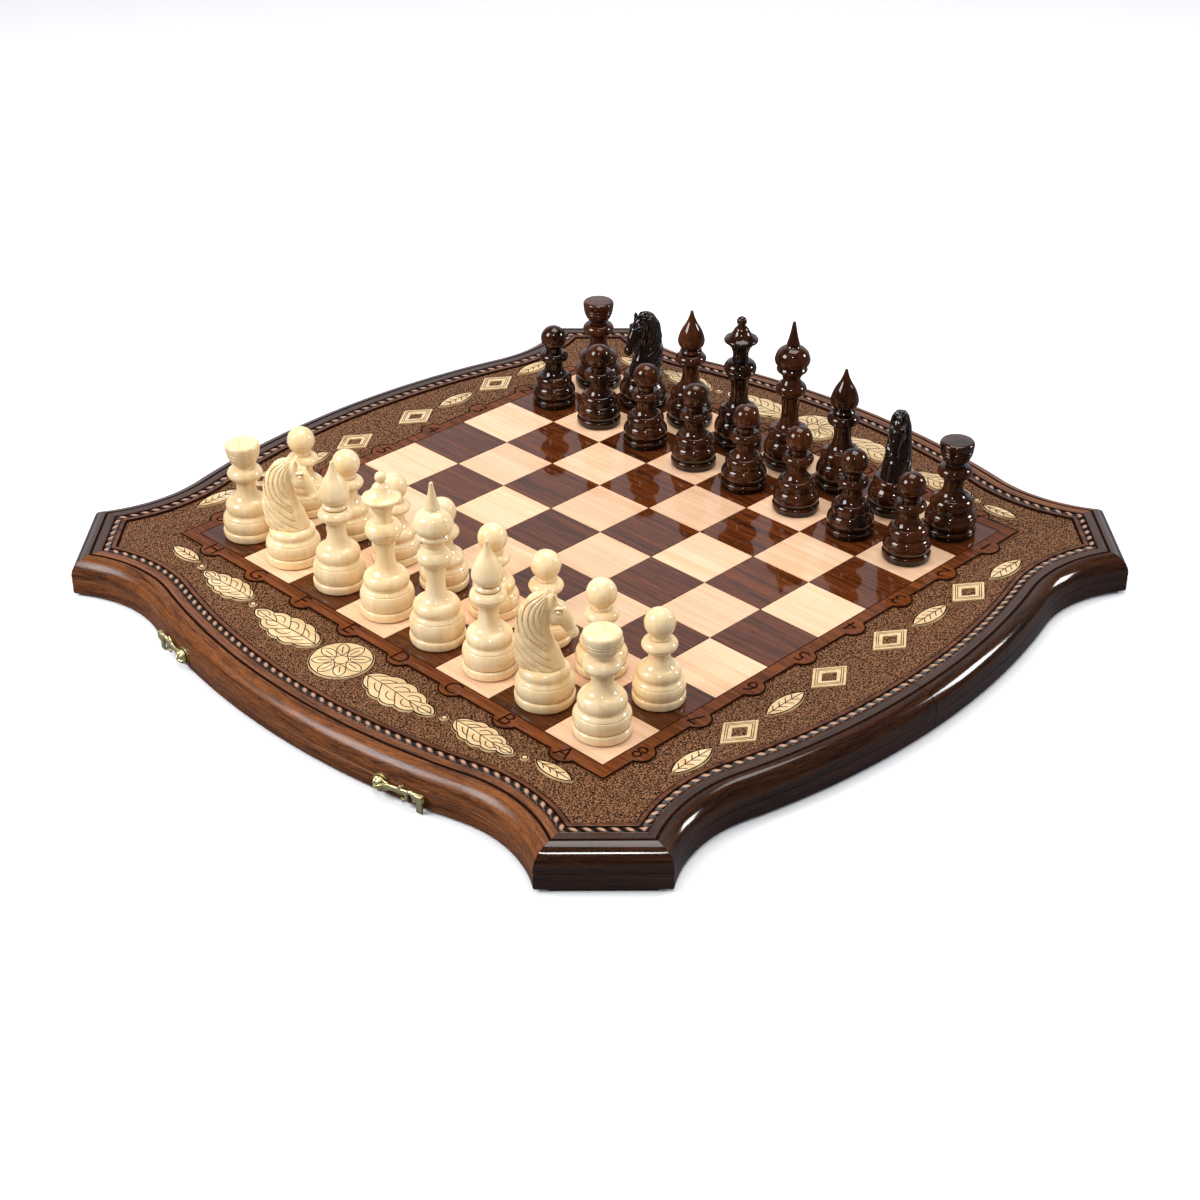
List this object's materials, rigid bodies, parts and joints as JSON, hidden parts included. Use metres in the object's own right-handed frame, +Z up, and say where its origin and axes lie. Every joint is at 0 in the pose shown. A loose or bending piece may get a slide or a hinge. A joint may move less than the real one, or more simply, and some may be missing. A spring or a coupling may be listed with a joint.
{
  "type": "folding wooden chess set",
  "caption": "Bowed wooden chess box laid open as a board, with carved borders, maple inlays, two brass hooks, and turned chessmen set out on their squares.",
  "frame": {"origin": "on the table under the middle of the seam between the two halves", "axes": "+Z up; X along the seam; the near half, with the hooks and the light men, is at -Y"},
  "size_m": [0.4978, 0.4978, 0.1202],
  "materials": {
    "white_men": "turned pale hornbeam, clear gloss lacquer, felt underneath",
    "black_men": "turned hornbeam stained near black, gloss lacquer, felt underneath",
    "light_squares": "pale maple veneer, gloss lacquer",
    "dark_squares": "dark brown walnut-stained beech, gloss lacquer",
    "brown_strip": "red-brown beech, engraved, gloss lacquer",
    "maple_inlays": "pale maple, burnt outlines",
    "carved_border": "carved beech, stippled ground, dark stain",
    "rails": "moulded beech, dark stain, high gloss lacquer",
    "seam_rail": "plain beech, stained",
    "panel": "plywood, stained underneath",
    "pads": "thin dark leather pads",
    "brass": "cast and polished brass"
  },
  "bodies": {
    "near_half": {"near_base_panel": "panel", "near_border_frame": "carved_border", "near_coordinate_strip": "brown_strip", "near_corner_pads": "pads", "near_dark_squares": "dark_squares", "near_hinge_leaves": "brass", "near_hinge_screws": "brass", "near_light_squares": "light_squares", "near_maple_inlays": "maple_inlays", "near_seam_rail": "seam_rail", "near_wall_rails": "rails", "hinge_pins": "brass", "hook_plates": "brass", "hook_pivots": "brass"},
    "far_half": {"far_base_panel": "panel", "far_border_frame": "carved_border", "far_coordinate_strip": "brown_strip", "far_corner_pads": "pads", "far_dark_squares": "dark_squares", "far_hinge_leaves": "brass", "far_hinge_screws": "brass", "far_light_squares": "light_squares", "far_maple_inlays": "maple_inlays", "far_seam_rail": "seam_rail", "far_wall_rails": "rails", "catch_studs": "brass"},
    "right_hook": {"right_hook": "brass"},
    "left_hook": {"left_hook": "brass"},
    "black_bishop_c": {"black_bishop_c": "black_men"},
    "black_bishop_f": {"black_bishop_f": "black_men"},
    "black_king": {"black_king": "black_men"},
    "black_knight_b": {"black_knight_b": "black_men"},
    "black_knight_g": {"black_knight_g": "black_men"},
    "black_pawn_a": {"black_pawn_a": "black_men"},
    "black_pawn_b": {"black_pawn_b": "black_men"},
    "black_pawn_c": {"black_pawn_c": "black_men"},
    "black_pawn_d": {"black_pawn_d": "black_men"},
    "black_pawn_e": {"black_pawn_e": "black_men"},
    "black_pawn_f": {"black_pawn_f": "black_men"},
    "black_pawn_g": {"black_pawn_g": "black_men"},
    "black_pawn_h": {"black_pawn_h": "black_men"},
    "black_queen": {"black_queen": "black_men"},
    "black_rook_a": {"black_rook_a": "black_men"},
    "black_rook_h": {"black_rook_h": "black_men"},
    "white_bishop_c": {"white_bishop_c": "white_men"},
    "white_bishop_f": {"white_bishop_f": "white_men"},
    "white_king": {"white_king": "white_men"},
    "white_knight_b": {"white_knight_b": "white_men"},
    "white_knight_g": {"white_knight_g": "white_men"},
    "white_pawn_a": {"white_pawn_a": "white_men"},
    "white_pawn_b": {"white_pawn_b": "white_men"},
    "white_pawn_c": {"white_pawn_c": "white_men"},
    "white_pawn_d": {"white_pawn_d": "white_men"},
    "white_pawn_e": {"white_pawn_e": "white_men"},
    "white_pawn_f": {"white_pawn_f": "white_men"},
    "white_pawn_g": {"white_pawn_g": "white_men"},
    "white_pawn_h": {"white_pawn_h": "white_men"},
    "white_queen": {"white_queen": "white_men"},
    "white_rook_a": {"white_rook_a": "white_men"},
    "white_rook_h": {"white_rook_h": "white_men"}
  },
  "joints": [
    {"name": "fold", "type": "hinge", "parent": "near_half", "child": "far_half", "pos_m": [0, 0, 0.0013], "axis": [-1, 0, 0], "range_deg": [0, 179]},
    {"name": "right_hook_swing", "type": "hinge", "parent": "near_half", "child": "right_hook", "pos_m": [0.08433, -0.24332, 0.0083], "axis": [0.176, -0.9844, 0], "range_deg": [-30, 90]},
    {"name": "left_hook_swing", "type": "hinge", "parent": "near_half", "child": "left_hook", "pos_m": [-0.08433, -0.24332, 0.0083], "axis": [0.176, 0.9844, 0], "range_deg": [-30, 90]},
    {"name": "lift_white_king", "type": "slide", "parent": "near_half", "child": "white_king", "axis": [0, 0, 1], "range_m": [0, 0.12]},
    {"name": "lift_white_queen", "type": "slide", "parent": "near_half", "child": "white_queen", "axis": [0, 0, 1], "range_m": [0, 0.12]},
    {"name": "lift_white_rook_a", "type": "slide", "parent": "near_half", "child": "white_rook_a", "axis": [0, 0, 1], "range_m": [0, 0.12]},
    {"name": "lift_white_rook_h", "type": "slide", "parent": "near_half", "child": "white_rook_h", "axis": [0, 0, 1], "range_m": [0, 0.12]},
    {"name": "lift_white_bishop_c", "type": "slide", "parent": "near_half", "child": "white_bishop_c", "axis": [0, 0, 1], "range_m": [0, 0.12]},
    {"name": "lift_white_bishop_f", "type": "slide", "parent": "near_half", "child": "white_bishop_f", "axis": [0, 0, 1], "range_m": [0, 0.12]},
    {"name": "lift_white_knight_b", "type": "slide", "parent": "near_half", "child": "white_knight_b", "axis": [0, 0, 1], "range_m": [0, 0.12]},
    {"name": "lift_white_knight_g", "type": "slide", "parent": "near_half", "child": "white_knight_g", "axis": [0, 0, 1], "range_m": [0, 0.12]},
    {"name": "lift_white_pawn_a", "type": "slide", "parent": "near_half", "child": "white_pawn_a", "axis": [0, 0, 1], "range_m": [0, 0.12]},
    {"name": "lift_white_pawn_b", "type": "slide", "parent": "near_half", "child": "white_pawn_b", "axis": [0, 0, 1], "range_m": [0, 0.12]},
    {"name": "lift_white_pawn_c", "type": "slide", "parent": "near_half", "child": "white_pawn_c", "axis": [0, 0, 1], "range_m": [0, 0.12]},
    {"name": "lift_white_pawn_d", "type": "slide", "parent": "near_half", "child": "white_pawn_d", "axis": [0, 0, 1], "range_m": [0, 0.12]},
    {"name": "lift_white_pawn_e", "type": "slide", "parent": "near_half", "child": "white_pawn_e", "axis": [0, 0, 1], "range_m": [0, 0.12]},
    {"name": "lift_white_pawn_f", "type": "slide", "parent": "near_half", "child": "white_pawn_f", "axis": [0, 0, 1], "range_m": [0, 0.12]},
    {"name": "lift_white_pawn_g", "type": "slide", "parent": "near_half", "child": "white_pawn_g", "axis": [0, 0, 1], "range_m": [0, 0.12]},
    {"name": "lift_white_pawn_h", "type": "slide", "parent": "near_half", "child": "white_pawn_h", "axis": [0, 0, 1], "range_m": [0, 0.12]},
    {"name": "lift_black_king", "type": "slide", "parent": "far_half", "child": "black_king", "axis": [0, 0, 1], "range_m": [0, 0.12]},
    {"name": "lift_black_queen", "type": "slide", "parent": "far_half", "child": "black_queen", "axis": [0, 0, 1], "range_m": [0, 0.12]},
    {"name": "lift_black_rook_a", "type": "slide", "parent": "far_half", "child": "black_rook_a", "axis": [0, 0, 1], "range_m": [0, 0.12]},
    {"name": "lift_black_rook_h", "type": "slide", "parent": "far_half", "child": "black_rook_h", "axis": [0, 0, 1], "range_m": [0, 0.12]},
    {"name": "lift_black_bishop_c", "type": "slide", "parent": "far_half", "child": "black_bishop_c", "axis": [0, 0, 1], "range_m": [0, 0.12]},
    {"name": "lift_black_bishop_f", "type": "slide", "parent": "far_half", "child": "black_bishop_f", "axis": [0, 0, 1], "range_m": [0, 0.12]},
    {"name": "lift_black_knight_b", "type": "slide", "parent": "far_half", "child": "black_knight_b", "axis": [0, 0, 1], "range_m": [0, 0.12]},
    {"name": "lift_black_knight_g", "type": "slide", "parent": "far_half", "child": "black_knight_g", "axis": [0, 0, 1], "range_m": [0, 0.12]},
    {"name": "lift_black_pawn_a", "type": "slide", "parent": "far_half", "child": "black_pawn_a", "axis": [0, 0, 1], "range_m": [0, 0.12]},
    {"name": "lift_black_pawn_b", "type": "slide", "parent": "far_half", "child": "black_pawn_b", "axis": [0, 0, 1], "range_m": [0, 0.12]},
    {"name": "lift_black_pawn_c", "type": "slide", "parent": "far_half", "child": "black_pawn_c", "axis": [0, 0, 1], "range_m": [0, 0.12]},
    {"name": "lift_black_pawn_d", "type": "slide", "parent": "far_half", "child": "black_pawn_d", "axis": [0, 0, 1], "range_m": [0, 0.12]},
    {"name": "lift_black_pawn_e", "type": "slide", "parent": "far_half", "child": "black_pawn_e", "axis": [0, 0, 1], "range_m": [0, 0.12]},
    {"name": "lift_black_pawn_f", "type": "slide", "parent": "far_half", "child": "black_pawn_f", "axis": [0, 0, 1], "range_m": [0, 0.12]},
    {"name": "lift_black_pawn_g", "type": "slide", "parent": "far_half", "child": "black_pawn_g", "axis": [0, 0, 1], "range_m": [0, 0.12]},
    {"name": "lift_black_pawn_h", "type": "slide", "parent": "far_half", "child": "black_pawn_h", "axis": [0, 0, 1], "range_m": [0, 0.12]}
  ]
}
